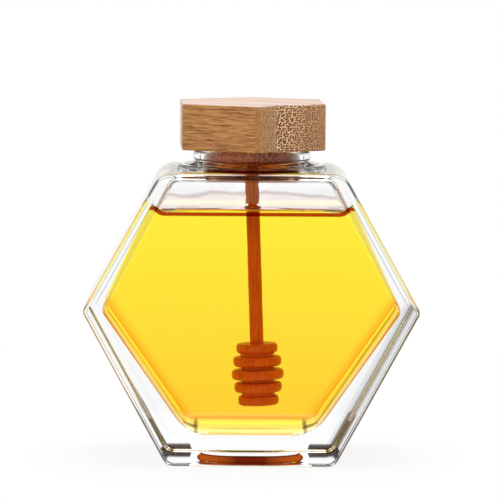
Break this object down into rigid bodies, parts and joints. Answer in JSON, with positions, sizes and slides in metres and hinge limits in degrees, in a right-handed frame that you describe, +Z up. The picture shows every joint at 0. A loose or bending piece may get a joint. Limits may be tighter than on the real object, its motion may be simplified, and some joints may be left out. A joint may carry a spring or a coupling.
{
  "type": "honey jar with dipper",
  "caption": "Hexagonal clear glass jar of honey with a hexagonal bamboo lid and a wooden dipper hanging in the honey.",
  "frame": {"origin": "middle of the underside that the jar stands on", "axes": "+Z up, +X to the right along the jar's width, -Y towards the front face"},
  "size_m": [0.12, 0.059, 0.1291],
  "materials": {
    "clear_glass": "clear, smooth pressed glass",
    "amber_honey": "clear golden honey, wet and smooth",
    "turned_wood": "turned wood, unvarnished, wet where it is in the honey",
    "bamboo": "laminated bamboo, sanded and lightly oiled"
  },
  "bodies": {
    "root": {"jar": "clear_glass", "honey": "amber_honey", "dipper": "turned_wood", "lid": "bamboo"}
  },
  "joints": []
}
